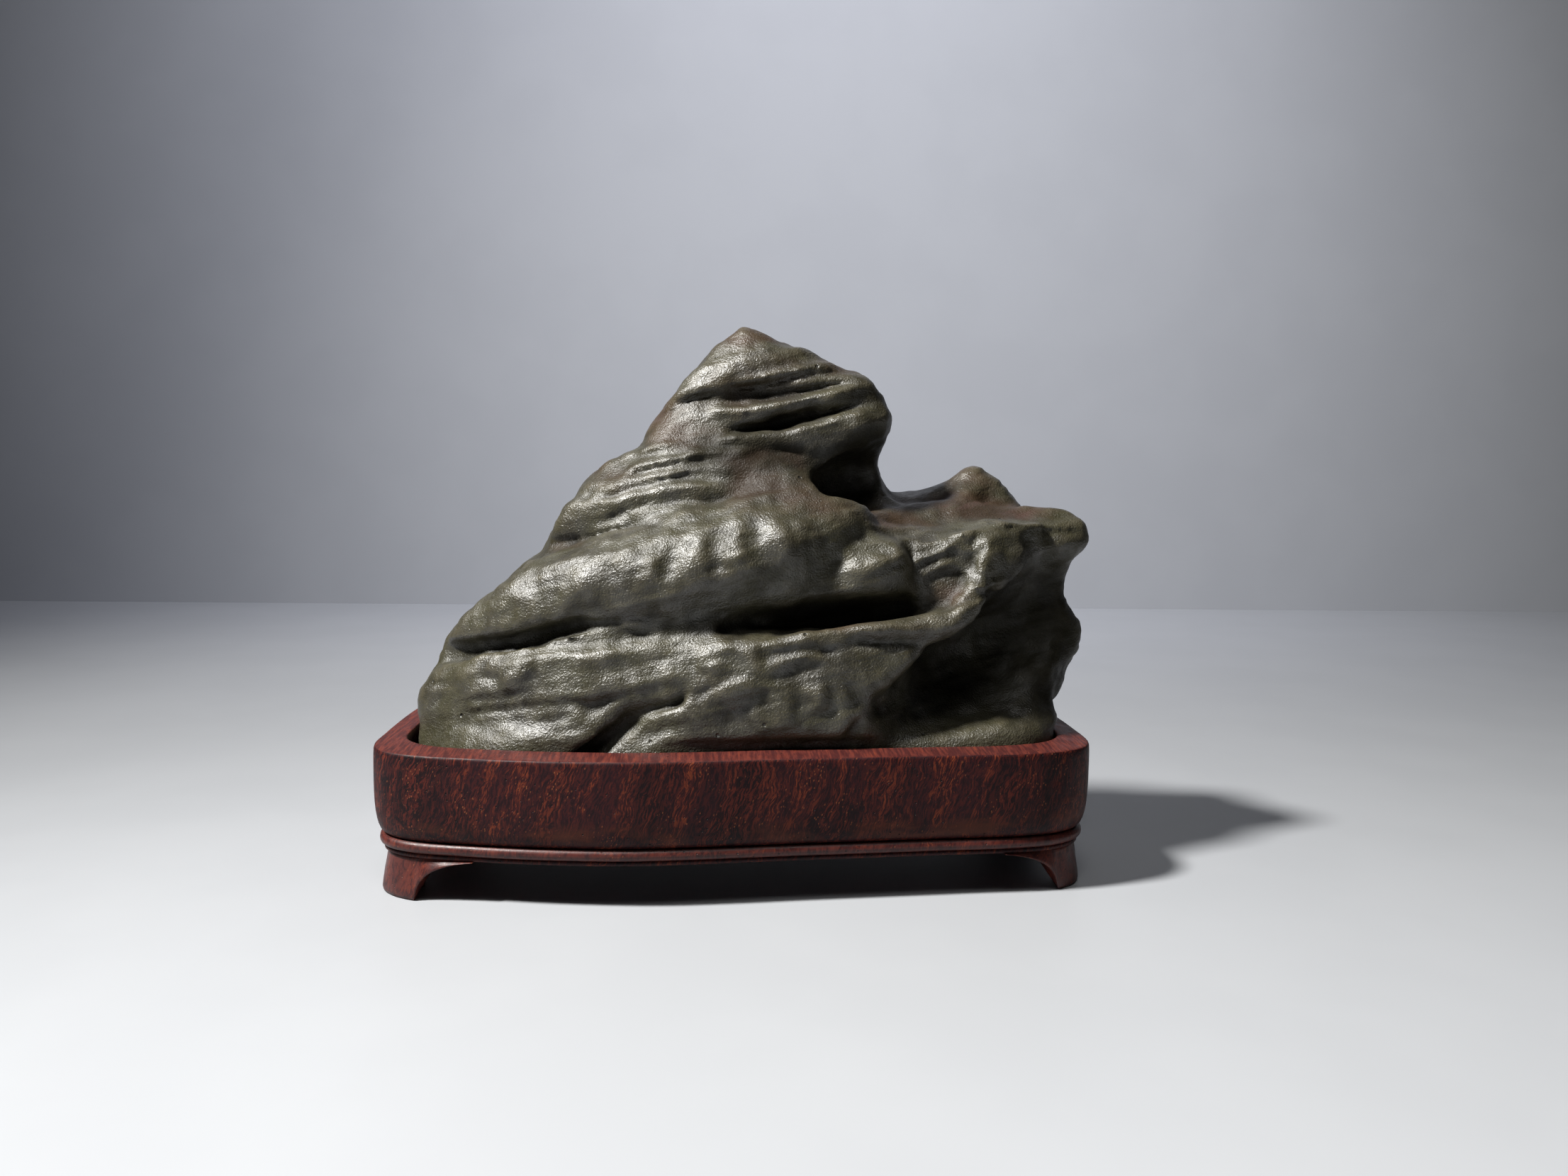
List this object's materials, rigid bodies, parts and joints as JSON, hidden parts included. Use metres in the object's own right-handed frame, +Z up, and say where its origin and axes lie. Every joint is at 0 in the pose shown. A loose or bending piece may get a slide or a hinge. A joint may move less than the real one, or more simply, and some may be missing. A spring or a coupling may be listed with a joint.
{
  "type": "scholars rock",
  "caption": "Weathered grey-green stone with a leaning peak, slanting folds and hollows, set in the recess of a low footed rosewood tray stand.",
  "frame": {"origin": "centre of the whole piece on the surface that the stand's feet rest on", "axes": "+X along the stand to the right as seen from the front, +Y from front to back, +Z up"},
  "size_m": [0.1478, 0.0748, 0.1125],
  "materials": {
    "stone": "waxed, satin",
    "rosewood": "dark oiled, satin"
  },
  "bodies": {
    "root": {"stone": "stone", "stand": "rosewood"}
  },
  "joints": []
}
